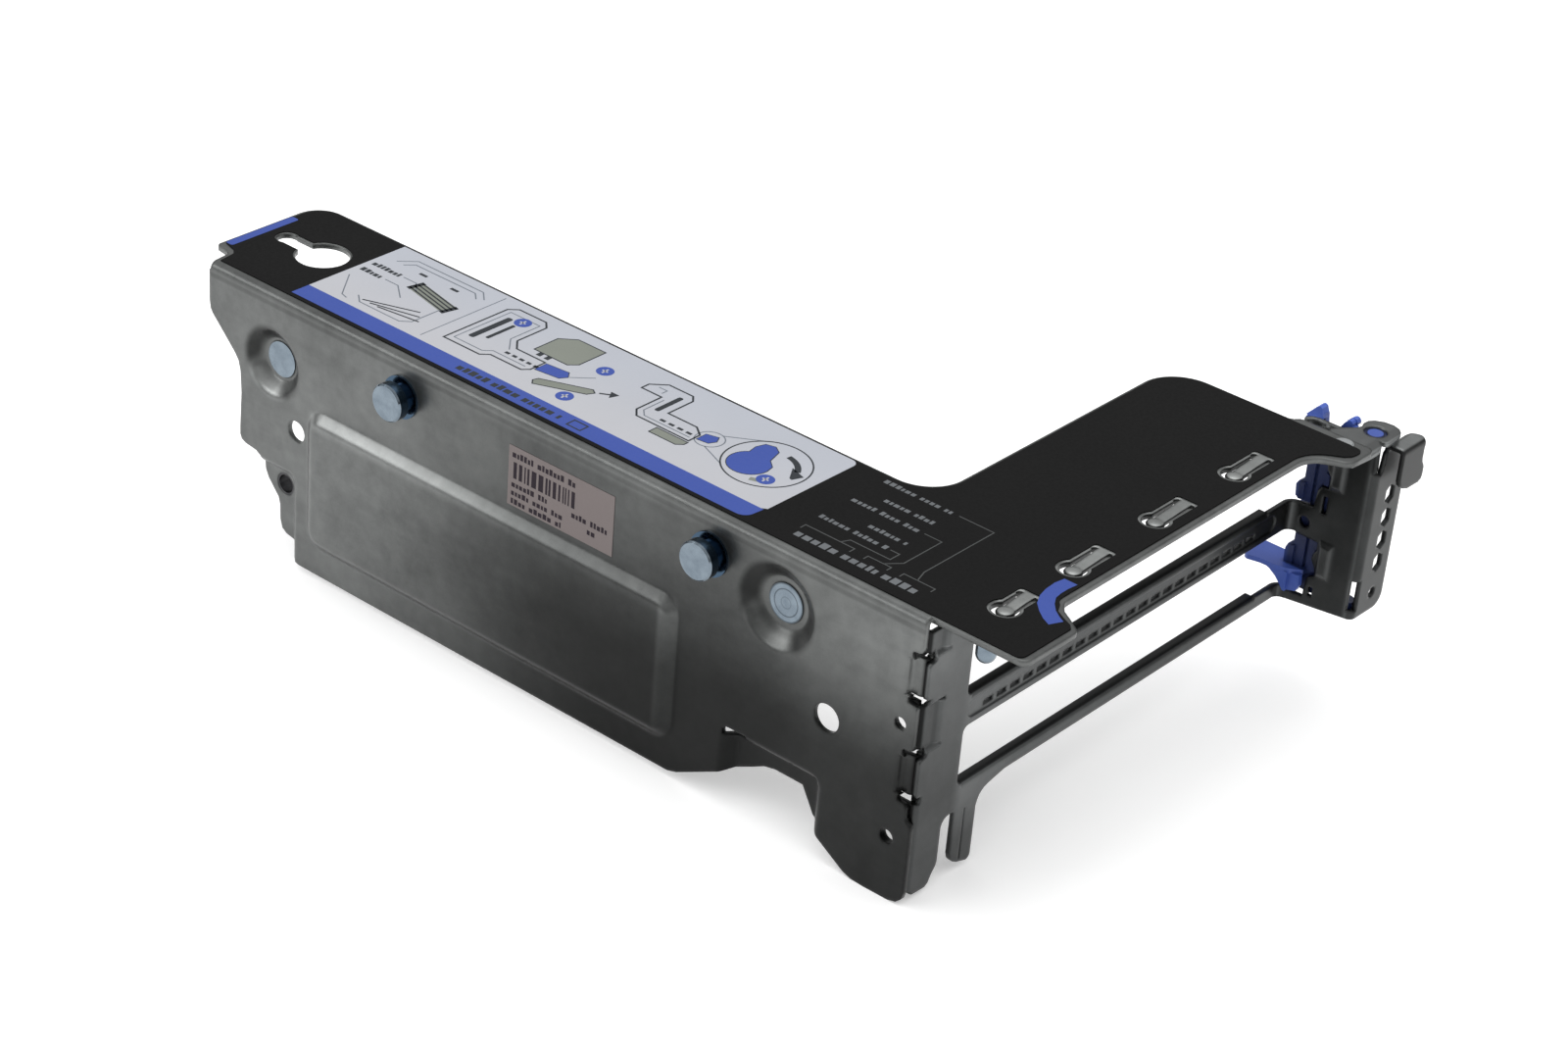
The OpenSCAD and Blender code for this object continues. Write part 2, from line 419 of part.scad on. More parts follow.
// ---- latch ----
module latch() color([0.2, 0.32, 0.75]) {
    jr = 2.5 - pivot_gap;
    lr = 1.5 - pivot_gap;
    // pivot, top and bottom
    translate([px, py, -2.15]) cylinder(r = jr, h = 0.5);
    translate([px, py, -3.9]) cylinder(r = 1.9, h = 2.3);
    translate([px, py, -6.4]) cylinder(r = 1.7, h = 2.6);
    translate([px, py, -1.65]) cylinder(r1 = 1.9, r2 = 1.6, h = 0.25);
    translate([px, py, -42.45]) cylinder(r = 1.9, h = 1.5);
    translate([px, py, -44.0]) cylinder(r = lr, h = 2);
    zprism(-6.4, -5.0) polygon([[2.6, 125.8], [px, 125.8], [px, 128.6], [9.0, 129.2], [2.6, 129.2]]);
    zprism(-42.4, -41.2) polygon([[2.6, 125.8], [px, 125.8], [px, 128.6], [9.0, 129.2], [2.6, 129.2]]);
    // spine behind the jog
    zprism(-42.4, -5.0) polygon([[2.6, 127.0], [3.6, 125.8], [8.6, 125.8], [9.0, 126.4], [9.0, 129.2], [2.6, 129.2]]);
    // web behind the round hole of the jog
    zprism(-28.6, -23.4) translate([0.4, 125.7]) square([3.6, 3.5]);
    // upper block in the upper opening of the jog
    yprism(124.9, 129.0) polygon([[1.8, -4.8], [3.9, -4.8], [3.9, -21.6], [0.9, -21.8], [0.2, -21.0], [0.0, -18.6], [0.6, -17.6], [1.8, -16.6]]);
    yprism(124.4, 126) polygon([[0.5, -21.0], [0.4, -18.9], [1.6, -17.6], [2.3, -17.4], [2.3, -21.2]]);
    yprism(125.2, 127) polygon([[4.6, -4.8], [6.4, -4.8], [6.4, -11.2], [7.5, -13.6], [7.5, -16.4], [5.9, -16.5], [5.3, -17.7], [4.9, -21.4], [4.6, -21.4]]);
    yprism(124.7, 126) polygon([[6.7, -13.2], [7.6, -13.8], [7.6, -16.2], [6.7, -16.2]]);
    // lower block in the lower opening
    yprism(124.9, 129.0) polygon([[1.8, -29.7], [4.6, -29.7], [4.6, -41.6], [3.0, -41.4], [1.2, -40.2], [0.2, -38.2], [0, -34.0], [0.5, -32.8], [1.8, -31.6]]);
    yprism(124.4, 126) polygon([[0.3, -37.0], [0.2, -34.2], [1.4, -32.8], [2.3, -32.5], [2.3, -37.0]]);
    yprism(125.2, 127) polygon([[5.2, -29.7], [7.1, -29.7], [7.3, -31.2], [6.4, -33.5], [7.4, -35.6], [7.6, -36.8], [6.0, -37.9], [5.2, -38.2]]);
    // finger lever with its curved gusset
    zprism(-38.0, -36.9) polygon(concat([[2.6, 128.6], [-lever_reach + 3.4, 128.6]], arc(-lever_reach + 4.0, 126.6, 2.0, 105, 180, 5),
        arc(-lever_reach + 4.2, 122.3, 1.6, 175, 262, 5), [[-3.6, 121.4], [0.4, 121.6], [3.2, 122.4], [4.6, 123.4], [5.6, 124.0], [5.6, 125.8], [3.2, 127]]));
    yprism(122.0, 128.4) polygon([[-5.0, -37.8], [-3.4, -37.9], [-1.4, -38.6], [0.3, -39.8], [1.6, -41.2], [2.4, -42.3], [3.0, -42.3], [3.0, -37.8]]);
    yprism(122.6, 123.9) polygon([[2.8, -42.2], [5.2, -41.6], [5.8, -40.2], [5.6, -37.8], [2.8, -37.8]]);
    // first thumb tip, a wedge behind the lip of the ear
    yprism(123.9, 126.2) polygon([[0.1, -1.8], [0.85, -0.95], [2.4, 0.8], [2.95, 1.1], [3.6, 0.8], [4.05, -0.4], [4.02, -1.7], [3.8, -1.8]]);
    yprism(125.65, 127.2) polygon([[-0.9, -3.5], [0.1, -1.9], [1.7, -0.1], [2.3, 0.3], [3.1, -0.1], [3.7, -1.3], [4.3, -6.0], [2.8, -6.0],
        [2.0, -4.6], [0.0, -3.9]]);
    // second tip beside the ear
    yprism(127.6, 129.2) polygon([[5.4, -6.2], [5.5, -5.2], [6.2, -4.0], [7.3, -2.2], [8.2, -1.4], [8.8, -1.45], [9.2, -1.9], [9.2, -2.5], [9.8, -2.6],
        [9.6, -4.2], [8.9, -6.2]]);
    yprism(129.0, 130.4) polygon([[6.9, -2.5], [7.9, -1.5], [8.5, -1.25], [9.1, -1.4], [9.5, -2.0], [9.5, -2.5]]);
}

main_bracket();
rear_bracket();
top_label();
side_label();
stud_front();
stud_rear();
standoff_front();
standoff_rear();
clinch_nut();
locating_pin();
ear_rivet();
latch();
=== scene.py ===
import math
import random

import bpy
import bmesh
from mathutils import Matrix, Vector
from mathutils.geometry import tessellate_polygon


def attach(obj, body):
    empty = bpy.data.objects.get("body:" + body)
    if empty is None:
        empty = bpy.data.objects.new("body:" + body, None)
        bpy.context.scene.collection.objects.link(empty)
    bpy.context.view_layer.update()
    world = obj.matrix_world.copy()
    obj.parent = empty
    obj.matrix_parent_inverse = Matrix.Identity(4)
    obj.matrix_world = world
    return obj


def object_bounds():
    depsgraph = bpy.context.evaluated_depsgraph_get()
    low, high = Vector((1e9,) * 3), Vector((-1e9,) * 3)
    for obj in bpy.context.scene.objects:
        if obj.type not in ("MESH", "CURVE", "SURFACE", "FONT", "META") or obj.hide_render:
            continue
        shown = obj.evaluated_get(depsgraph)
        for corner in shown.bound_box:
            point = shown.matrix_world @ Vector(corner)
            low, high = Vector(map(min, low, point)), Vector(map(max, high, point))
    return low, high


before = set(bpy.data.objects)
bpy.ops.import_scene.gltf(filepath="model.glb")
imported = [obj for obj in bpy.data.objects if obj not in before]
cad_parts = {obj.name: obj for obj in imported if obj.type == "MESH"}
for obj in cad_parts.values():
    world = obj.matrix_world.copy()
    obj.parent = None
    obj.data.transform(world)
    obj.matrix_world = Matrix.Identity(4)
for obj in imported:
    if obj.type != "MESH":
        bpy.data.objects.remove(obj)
CAD_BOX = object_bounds()
MM = 0.001
scene = bpy.context.scene
random.seed(7)

# ------------------------------------------------------------------ camera
cam_data = bpy.data.cameras.new("camera")
cam_data.sensor_fit = "HORIZONTAL"
cam_data.sensor_width = 36.0
cam_data.lens = 81.13
cam_data.clip_start = 0.01
cam_data.clip_end = 50.0
cam = bpy.data.objects.new("camera", cam_data)
scene.collection.objects.link(cam)
right = Vector((0.75860, 0.64717, 0.07548))
down = Vector((0.37538, -0.33942, -0.86249))
fwd = Vector((-0.53256, 0.68262, -0.50041))
eye = Vector((0.31319, -0.44758, 0.33338))
m = Matrix.Identity(4)
for i in range(3):
    m[i][0], m[i][1], m[i][2], m[i][3] = right[i], -down[i], -fwd[i], eye[i]
cam.matrix_world = m
scene.camera = cam
scene.view_settings.view_transform = "Standard"
scene.view_settings.look = "None"


# ------------------------------------------------------------------ material helpers
def srgb(r, g, b):
    def f(c):
        c /= 255.0
        return c / 12.92 if c <= 0.04045 else ((c + 0.055) / 1.055) ** 2.4
    return (f(r), f(g), f(b), 1.0)


class Tree:
    """Short hand for building a node tree."""

    def __init__(self, name):
        self.mat = bpy.data.materials.new(name)
        self.mat.use_nodes = True
        self.t = self.mat.node_tree
        self.t.nodes.clear()
        self.out = self.t.nodes.new("ShaderNodeOutputMaterial")
        self.bsdf = self.t.nodes.new("ShaderNodeBsdfPrincipled")
        self.link(self.bsdf.outputs["BSDF"], self.out.inputs["Surface"])
        self.co = self.t.nodes.new("ShaderNodeTexCoord")

    def link(self, a, b):
        self.t.links.new(a, b)

    def mapping(self, scale=(1, 1, 1), rot=(0, 0, 0)):
        n = self.t.nodes.new("ShaderNodeMapping")
        n.inputs["Scale"].default_value = scale
        n.inputs["Rotation"].default_value = rot
        self.link(self.co.outputs["Object"], n.inputs["Vector"])
        return n.outputs["Vector"]

    def noise(self, vec, scale, detail=2.0, rough=0.5, dist=0.0):
        n = self.t.nodes.new("ShaderNodeTexNoise")
        n.inputs["Scale"].default_value = scale
        n.inputs["Detail"].default_value = detail
        n.inputs["Roughness"].default_value = rough
        n.inputs["Distortion"].default_value = dist
        self.link(vec, n.inputs["Vector"])
        return n.outputs["Fac"]

    def voronoi(self, vec, scale, feature="F1", output="Color"):
        n = self.t.nodes.new("ShaderNodeTexVoronoi")
        n.feature = feature
        n.inputs["Scale"].default_value = scale
        self.link(vec, n.inputs["Vector"])
        return n.outputs[output]

    def ramp(self, fac, stops, interp="LINEAR"):
        n = self.t.nodes.new("ShaderNodeValToRGB")
        n.color_ramp.interpolation = interp
        els = n.color_ramp.elements
        while len(els) < len(stops):
            els.new(0.5)
        for e, (p, c) in zip(els, stops):
            e.position = p
            e.color = c if len(c) == 4 else (*c, 1.0)
        self.link(fac, n.inputs["Fac"])
        return n.outputs["Color"]

    def grey(self, fac, lo, hi, a=0.0, b=1.0):
        n = self.t.nodes.new("ShaderNodeMapRange")
        n.inputs["From Min"].default_value = a
        n.inputs["From Max"].default_value = b
        n.inputs["To Min"].default_value = lo
        n.inputs["To Max"].default_value = hi
        self.link(fac, n.inputs["Value"])
        return n.outputs["Result"]

    def math(self, op, a, b):
        n = self.t.nodes.new("ShaderNodeMath")
        n.operation = op
        for i, v in enumerate((a, b)):
            if isinstance(v, (int, float)):
                n.inputs[i].default_value = v
            else:
                self.link(v, n.inputs[i])
        return n.outputs[0]

    def mix(self, fac, a, b, mode="MIX"):
        n = self.t.nodes.new("ShaderNodeMix")
        n.data_type = "RGBA"
        n.blend_type = mode
        for k, v in (("Factor", fac), ("A", a), ("B", b)):
            sock = [s for s in n.inputs if s.name == k and (s.type == "RGBA" if k != "Factor" else s.type == "VALUE")][0]
            if isinstance(v, (int, float)):
                sock.default_value = v
            elif isinstance(v, tuple):
                sock.default_value = v
            else:
                self.link(v, sock)
        return [s for s in n.outputs if s.type == "RGBA"][0]

    def bump(self, height, strength, distance, normal=None):
        n = self.t.nodes.new("ShaderNodeBump")
        n.inputs["Strength"].default_value = strength
        n.inputs["Distance"].default_value = distance
        self.link(height, n.inputs["Height"])
        if normal is not None:
            self.link(normal, n.inputs["Normal"])
        return n.outputs["Normal"]

    def round_edges(self, radius):
        n = self.t.nodes.new("ShaderNodeBevel")
        n.samples = 6
        n.inputs["Radius"].default_value = radius
        return n.outputs["Normal"]

    def set(self, **kw):
        for k, v in kw.items():
            k = k.replace("_", " ")
            sock = self.bsdf.inputs[k]
            if isinstance(v, (int, float, tuple)):
                sock.default_value = v
            else:
                self.link(v, sock)

    def xyz(self):
        """Object-space x, y, z in millimetres."""
        n = self.t.nodes.new("ShaderNodeSeparateXYZ")
        self.link(self.mapping((1000, 1000, 1000)), n.inputs[0])
        return n.outputs[0], n.outputs[1], n.outputs[2]

    def smooth(self, v, a, b):
        """0 at a, 1 at b, smooth between them."""
        n = self.t.nodes.new("ShaderNodeMapRange")
        n.interpolation_type = "SMOOTHSTEP"
        n.inputs["From Min"].default_value = a
        n.inputs["From Max"].default_value = b
        self.link(v, n.inputs["Value"])
        return n.outputs["Result"]

    def band(self, v, a, b, s=0.15):
        return self.math("MULTIPLY", self.smooth(v, a - s, a + s), self.math("SUBTRACT", 1.0, self.smooth(v, b - s, b + s)))

    def prod(self, *f):
        out = f[0]
        for g in f[1:]:
            out = self.math("MULTIPLY", out, g)
        return out

    def shade(self, col, mask, factor):
        """col multiplied by factor where mask is 1."""
        k = self.grey(mask, 1.0, factor)
        n = self.t.nodes.new("ShaderNodeVectorMath")
        n.operation = "SCALE"
        self.link(col, n.inputs[0])
        self.link(k, n.inputs["Scale"])
        return n.outputs[0]


def galvanised(name, dark, light, rough=(0.27, 0.38), painted_light_spots=(), streak_axis=0):
    """Satin hot-dip sheet: soft cloudy tone, faint rolling lines, fine even grain. The listed masks paint shade and
    highlights by place.
    """
    t = Tree(name)
    v = t.mapping()
    cloud = t.noise(v, 34.0, 4.0, 0.6)
    patch = t.noise(v, 260.0, 3.0, 0.6)
    sc = [520.0, 520.0, 520.0]
    sc[streak_axis] = 26.0
    streak = t.noise(t.mapping(tuple(sc)), 1.0, 2.0, 0.5)
    grain = t.noise(v, 3200.0, 2.0, 0.65)
    f = t.math("ADD", t.math("MULTIPLY", t.grey(cloud, 0.0, 1.0, 0.32, 0.68), 0.46),
               t.math("ADD", t.math("MULTIPLY", t.grey(patch, 0.0, 1.0, 0.3, 0.7), 0.22),
                      t.math("ADD", t.math("MULTIPLY", streak, 0.16), t.math("MULTIPLY", grain, 0.2))))
    col = t.ramp(f, [(0.2, dark), (0.8, light)])
    x, y, z = t.xyz()
    for fn, k in painted_light_spots:
        col = t.shade(col, fn(t, x, y, z), k)
    r = t.grey(cloud, rough[0], rough[1], 0.3, 0.7)
    nrm = t.bump(grain, 0.18, 0.00003, t.bump(patch, 0.1, 0.00004, t.round_edges(0.0009)))
    t.set(Base_Color=col, Metallic=0.88, Roughness=r, Normal=nrm)
    return t.mat


def zinc(name, dark, light, rough=0.16, painted_light_spots=(), side=None):
    """Bright blue-passivated zinc on turned parts; the masks and the side colour paint shade by place."""
    t = Tree(name)
    v = t.mapping()
    cloud = t.noise(v, 300.0, 3.0, 0.6)
    fine = t.noise(v, 2200.0, 2.0, 0.5)
    col = t.ramp(cloud, [(0.3, dark), (0.7, light)])
    x, y, z = t.xyz()
    for fn, k in painted_light_spots:
        col = t.shade(col, fn(t, x, y, z), k)
    # painted shade: side faces are mixed towards the dark blue side colour
    if side is not None:
        col = t.mix(painted_shade_stud_side(t, x, y, z), col, side)
    nrm = t.bump(fine, 0.12, 0.00003)
    t.set(Base_Color=col, Metallic=1.0, Roughness=t.grey(fine, rough - 0.04, rough + 0.08, 0.3, 0.7), Normal=nrm)
    return t.mat


def film(name, colour, rough=0.42, spec=0.35, mottle=0.05, far_shade_tint=None):
    """Printed plastic film: even colour with a slight mottle and a fine orange-peel surface; an optional tint paints a
    cooler shade towards the far edge.
    """
    t = Tree(name)
    v = t.mapping()
    mott = t.noise(v, 60.0, 3.0, 0.5)
    peel = t.noise(v, 1500.0, 2.0, 0.5)
    lo = tuple(c * (1 - mottle) for c in colour[:3]) + (1.0,)
    hi = tuple(min(1.0, c * (1 + mottle)) for c in colour[:3]) + (1.0,)
    col = t.ramp(mott, [(0.3, lo), (0.7, hi)])
    if far_shade_tint is not None:
        # painted shade: the film turns slightly cooler and darker towards the far edge
        x, y, z = t.xyz()
        tint = t.ramp(t.smooth(y, 8, 34), [(0.0, (1, 1, 1, 1)), (1.0, far_shade_tint)])
        col = t.mix(1.0, col, tint, "MULTIPLY")
    t.set(Base_Color=col, Roughness=t.grey(peel, rough - 0.04, rough + 0.05, 0.3, 0.7), Normal=t.bump(peel, 0.12, 0.00002))
    t.bsdf.inputs["Specular IOR Level"].default_value = spec
    return t.mat


def plastic(name, colour, deep, rough=0.42, painted_light_spots=()):
    """Moulded plastic: slight colour drift, fine spark-eroded grain. The listed masks paint shade and highlights by
    place.
    """
    t = Tree(name)
    v = t.mapping()
    drift = t.noise(v, 120.0, 2.0, 0.5)
    grain = t.noise(v, 3500.0, 2.0, 0.6)
    col = t.ramp(drift, [(0.25, deep), (0.75, colour)])
    x, y, z = t.xyz()
    for fn, k in painted_light_spots:
        col = t.shade(col, fn(t, x, y, z), k)
    t.set(Base_Color=col, Roughness=t.grey(grain, rough - 0.06, rough + 0.08, 0.3, 0.7), Normal=t.bump(grain, 0.25, 0.00004))
    t.bsdf.inputs["Specular IOR Level"].default_value = 0.35
    return t.mat


# painted shade and painted highlights by place on the folded sheets: darker joints where one sheet turns in behind the
# other, and a painted soft drop in tone towards the lower slot end of the side wall
# painted shade: the wall darkens towards its lower slot end, standing in for a dark reflection
def painted_shade_wall_low(t, x, y, z):
    return t.prod(t.smooth(x, -150, -75), t.smooth(z, -6, -40), t.smooth(y, 6.5, 4.0))


# painted shade: the wall darkens towards its right end, standing in for a dark reflection
def painted_shade_wall_right(t, x, y, z):
    return t.prod(t.smooth(x, -150, -90), t.smooth(x, -20, -48), t.smooth(y, 3.5, 2.0), t.smooth(z, -1.5, -5))


def painted_highlight_panel_end(t, x, y, z):
    """Painted highlight on the end flank of the long panel, turned away from the rest of the wall."""
    return t.prod(t.band(x, -63.4, -59.4, 0.7), t.band(z, -52, -23.5, 2.5), t.smooth(y, -0.05, -0.35))


# painted highlight: the tops of the spring tongues are lightened
def painted_highlight_tongue_tops(t, x, y, z):
    return t.prod(t.band(x, 3.3, 9.0, 0.3), t.band(y, 9.0, 101.0, 0.5), t.smooth(z, -2.2, -1.9))


# painted shade in the joints where the wall turns in behind the post
def painted_shade_joint_wall(t, x, y, z):
    zs = t.math("ADD", t.band(z, -17.6, -9.2), t.band(z, -39.4, -30.6))
    return t.prod(t.smooth(y, 1.15, 1.6), t.smooth(x, -3.3, -2.3), zs)


# painted shade where the post's tabs bend in behind the wall
def painted_shade_joint_post(t, x, y, z):
    return t.prod(t.smooth(x, -0.45, -0.8), t.smooth(y, 2.3, 1.7), t.smooth(x, -4, -3))


# painted shade: a darker band just below the fold
def painted_shade_fold_line(t, x, y, z):
    return t.prod(t.band(z, -3.3, -2.2, 0.35), t.smooth(y, 0.4, 0.1))


# painted shade on the recessed jog under the plate
def painted_shade_jog_deep(t, x, y, z):
    return t.prod(t.smooth(y, 123.7, 124.25), t.smooth(x, 16.6, 15.6), t.smooth(y, 126.2, 125.6), t.smooth(z, -3.0, -4.0))


# painted shade over the whole jog below the plate
def painted_shade_jog_all(t, x, y, z):
    return t.prod(t.smooth(y, 119.5, 122.5), t.smooth(x, 17.2, 16.2), t.smooth(z, -2.3, -3.2))


# painted highlight on the up-facing top of the ear
def painted_highlight_ear_top(t, x, y, z):
    return t.prod(t.smooth(z, -2.3, -1.5), t.smooth(y, 112, 113), t.smooth(x, 17.0, 16.0))


# painted highlight on the up-facing top of the hook
def painted_highlight_hook_top(t, x, y, z):
    return t.prod(t.smooth(z, -3.3, -2.96), t.smooth(x, 18.5, 19.0))


# painted shade: the bars darken towards their far end
def painted_shade_bars_far(t, x, y, z):
    return t.prod(t.smooth(y, 5, 105), t.smooth(x, 0.6, 0.3), t.smooth(z, -20, -22))


# painted shade: dark strips on the bars' top flanges, standing in for a dark reflection
def painted_shade_bar_tops(t, x, y, z):
    zs = t.math("ADD", t.band(z, -22.55, -22.0, 0.05), t.band(z, -42.85, -42.3, 0.05))
    return t.prod(t.smooth(x, -0.25, -0.6), t.smooth(y, 13.5, 15.0), t.smooth(y, 119, 116), zs)


# painted shade: the post darkens towards its bottom
def painted_shade_post_low(t, x, y, z):
    return t.prod(t.smooth(z, -16, -50), t.smooth(y, 16, 12), t.smooth(x, 1.0, 0.5))


# painted shade in the shallow dips of the post
def painted_shade_post_dips(t, x, y, z):
    return t.prod(t.smooth(x, -0.2, -0.7), t.smooth(y, 7.4, 6.0), t.smooth(x, -3, -2))


def painted_light_dip_ends(t, x, y, z):
    """Painted lightening on the short slopes at the ends of the dips."""
    ends = t.math("ADD", t.band(z, -8.9, -7.5, 0.1), t.math("ADD", t.band(z, -19.7, -18.3, 0.1), t.band(z, -30.1, -28.7, 0.1)))
    return t.prod(ends, t.band(x, -1.0, -0.02, 0.02), t.band(y, 2.6, 7.2, 0.05))


def painted_shade_tongue_gap(t, x, y, z):
    """Painted shade on the walls of the openings round the spring tongues and the edges of the tongues."""
    dx = t.math("ABSOLUTE", t.math("SUBTRACT", x, 6.1), 0.0)
    tips = None
    for y0 in (13.85, 34.85, 61.45, 88.55):
        dy = t.math("SUBTRACT", y, y0)
        r = t.math("SQRT", t.math("ADD", t.math("MULTIPLY", dx, dx), t.math("MULTIPLY", dy, dy)), 0.0)
        tip = t.smooth(r, 1.7, 1.45)
        tips = tip if tips is None else t.math("MAXIMUM", tips, tip)
    return t.prod(t.smooth(dx, 1.17, 1.25), t.smooth(dx, 3.4, 3.2), t.smooth(z, -0.04, -0.14), t.band(y, 9.0, 101.0, 0.5), t.math("SUBTRACT", 1.0, tips))


def painted_shade_tips_front(t, x, y, z):
    """Painted shade on the front edge of each tongue tip."""
    dx = t.math("ABSOLUTE", t.math("SUBTRACT", x, 6.1), 0.0)
    edge = None
    for y0 in (13.85, 34.85, 61.45, 88.55):
        dy = t.math("SUBTRACT", y, y0)
        r = t.math("SQRT", t.math("ADD", t.math("MULTIPLY", dx, dx), t.math("MULTIPLY", dy, dy)), 0.0)
        e = t.prod(t.smooth(r, 1.4, 1.7), t.smooth(r, 2.1, 2.0), t.smooth(dy, 0.6, -0.2))
        edge = e if edge is None else t.math("MAXIMUM", edge, e)
    return t.math("MULTIPLY", edge, t.smooth(z, -0.2, -0.4))


# painted shade on the bend between the top plate and the wall near the corner
def painted_shade_fold_bend(t, x, y, z):
    return t.prod(t.smooth(y, 1.7, 1.2), t.smooth(z, -2.2, -1.6), t.smooth(x, 0.0, -2.0))


def painted_highlight_panel_top(t, x, y, z):
    """Painted highlight on the long flank of the panel that faces the light."""
    return t.prod(t.band(z, -25.2, -22.6, 1.6), t.band(x, -164, -60, 1.0), t.smooth(y, 0.1, -0.15))


def painted_shade_hook_front(t, x, y, z):
    """Painted shade on the hanging plates of the hook and of the flange's front, seen against the light."""
    return t.prod(t.smooth(x, 18.5, 19.0), t.smooth(z, -3.0, -3.5))


# painted shade over the middle band of the post
def painted_shade_post_mid(t, x, y, z):
    return t.prod(t.band(z, -46, -14, 4.0), t.smooth(y, 16, 12), t.smooth(x, 1.0, 0.5))


def painted_shade_foot(t, x, y, z):
    """Painted shade: the foot darkens towards its end."""
    return t.prod(t.smooth(z, -46, -58), t.smooth(y, 13.2, 13.8), t.smooth(x, 1.0, 0.5))


# painted shade on the end plates beyond the jog
def painted_shade_end_plates(t, x, y, z):
    return t.prod(t.smooth(x, 16.6, 17.3), t.smooth(y, 121, 124), t.smooth(z, -2.95, -3.3))


# painted shade: the side faces of the studs and standoffs
def painted_shade_stud_side(t, x, y, z):
    return t.prod(t.smooth(y, -4.06, -3.9), t.smooth(y, 0.3, 0.0))


def painted_shade_disc_rings(t, x, y, z):
    """Painted shade in rings on the face of the rear standoff, standing in for turned rings."""
    dx, dz = t.math("ADD", x, 36.0), t.math("ADD", z, 13.3)
    r = t.math("SQRT", t.math("ADD", t.math("MULTIPLY", dx, dx), t.math("MULTIPLY", dz, dz)), 0.0)
    rings = t.math("ADD", t.band(r, 2.75, 3.0, 0.1), t.math("ADD", t.smooth(r, 3.75, 4.0), t.math("MULTIPLY", t.band(r, 1.1, 1.3, 0.12), 0.5)))
    return t.prod(t.math("MINIMUM", rings, 1.0), t.smooth(r, 6.0, 5.0), t.smooth(y, 3.1, 2.95), t.smooth(y, 1.5, 1.8))


def painted_shade_dimple_rim(cx, cz, r0, r1):
    """Painted shade on the steep upper-left and lower-right flanks of a dimple."""
    def fn(t, x, y, z):
        dx, dz = t.math("SUBTRACT", x, cx), t.math("SUBTRACT", z, cz)
        r = t.math("SQRT", t.math("ADD", t.math("MULTIPLY", dx, dx), t.math("MULTIPLY", dz, dz)), 0.0)
        up = t.math("ADD", t.math("MULTIPLY", dx, -0.75), t.math("MULTIPLY", dz, 0.66))
        right_low = t.math("ADD", t.math("MULTIPLY", dx, 0.95), t.math("MULTIPLY", dz, -0.1))
        side = t.math("MAXIMUM", t.smooth(up, 1.5, 5.0), t.math("MULTIPLY", t.smooth(right_low, 2.0, 6.0), 0.7))
        return t.prod(t.band(r, r0, r1, 0.9), side, t.smooth(y, 4.6, 4.0))
    return fn


def dimple_glint(cx, cz, r0, r1):
    """Painted highlight on the lower-left flank."""
    def fn(t, x, y, z):
        dx, dz = t.math("SUBTRACT", x, cx), t.math("SUBTRACT", z, cz)
        r = t.math("SQRT", t.math("ADD", t.math("MULTIPLY", dx, dx), t.math("MULTIPLY", dz, dz)), 0.0)
        low = t.math("ADD", t.math("MULTIPLY", dx, -0.45), t.math("MULTIPLY", dz, -0.89))
        return t.prod(t.band(r, r0, r1, 0.8), t.smooth(low, 3.5, 6.0), t.smooth(y, 4.6, 4.0))
    return fn


def painted_shade_latch_deep(t, x, y, z):
    """Painted shade on the parts of the latch that stand behind the jog and under the plate."""
    return t.prod(t.smooth(z, -2.2, -5.0), t.smooth(x, -1.0, 1.5), t.math("MAXIMUM", t.smooth(z, -33.0, -28.0), t.smooth(y, 123.5, 124.3)))


# painted shade in the ring round the latch pivot
def painted_shade_pivot_gap(t, x, y, z):
    dx, dy = t.math("SUBTRACT", x, 14.8), t.math("SUBTRACT", y, 127.2)
    r = t.math("SQRT", t.math("ADD", t.math("MULTIPLY", dx, dx), t.math("MULTIPLY", dy, dy)), 0.0)
    return t.prod(t.smooth(r, 1.6, 1.75), t.smooth(z, -2.3, -2.1), t.smooth(x, 11.5, 12.0))


# painted highlight on the tops of the latch tips
def painted_highlight_latch_tips(t, x, y, z):
    return t.prod(t.smooth(z, -2.6, -1.6), t.smooth(x, 11.0, 10.5))


M = {}
# the masks below are painted shade (factors under 1) and painted highlights (factors over 1), set by place
M["sheet"] = galvanised("galvanised_sheet", (0.086, 0.089, 0.088), (0.161, 0.167, 0.164),
                        painted_light_spots=((painted_shade_wall_low, 0.15), (painted_shade_wall_right, 0.6), (painted_highlight_panel_end, 2.2), (painted_highlight_panel_top, 1.75), (painted_shade_fold_bend, 0.84), (painted_highlight_tongue_tops, 2.1), (painted_shade_tongue_gap, 0.14), (painted_shade_tips_front, 0.2), (painted_shade_joint_wall, 0.12), (painted_shade_fold_line, 0.72),
                               (painted_shade_dimple_rim(-175.3, -16.6, 5.3, 8.2), 0.22), (painted_shade_dimple_rim(-36.0, -13.3, 6.0, 9.4), 0.25),
                               (dimple_glint(-175.3, -16.6, 6.0, 8.2), 1.7), (dimple_glint(-36.0, -13.3, 6.8, 9.4), 1.7)))
M["slot"] = galvanised("slot_sheet", (0.075, 0.079, 0.079), (0.124, 0.129, 0.129), streak_axis=1,
                       painted_light_spots=((painted_shade_joint_post, 0.15), (painted_shade_jog_deep, 0.5), (painted_shade_jog_all, 0.6), (painted_shade_bars_far, 0.4), (painted_shade_bar_tops, 0.25), (painted_shade_post_low, 0.52), (painted_shade_post_dips, 0.7), (painted_shade_end_plates, 0.38), (painted_light_dip_ends, 1.5),
                               (painted_highlight_ear_top, 1.35), (painted_highlight_hook_top, 2.1), (painted_shade_hook_front, 0.66), (painted_shade_post_mid, 0.74), (painted_shade_foot, 0.45)))
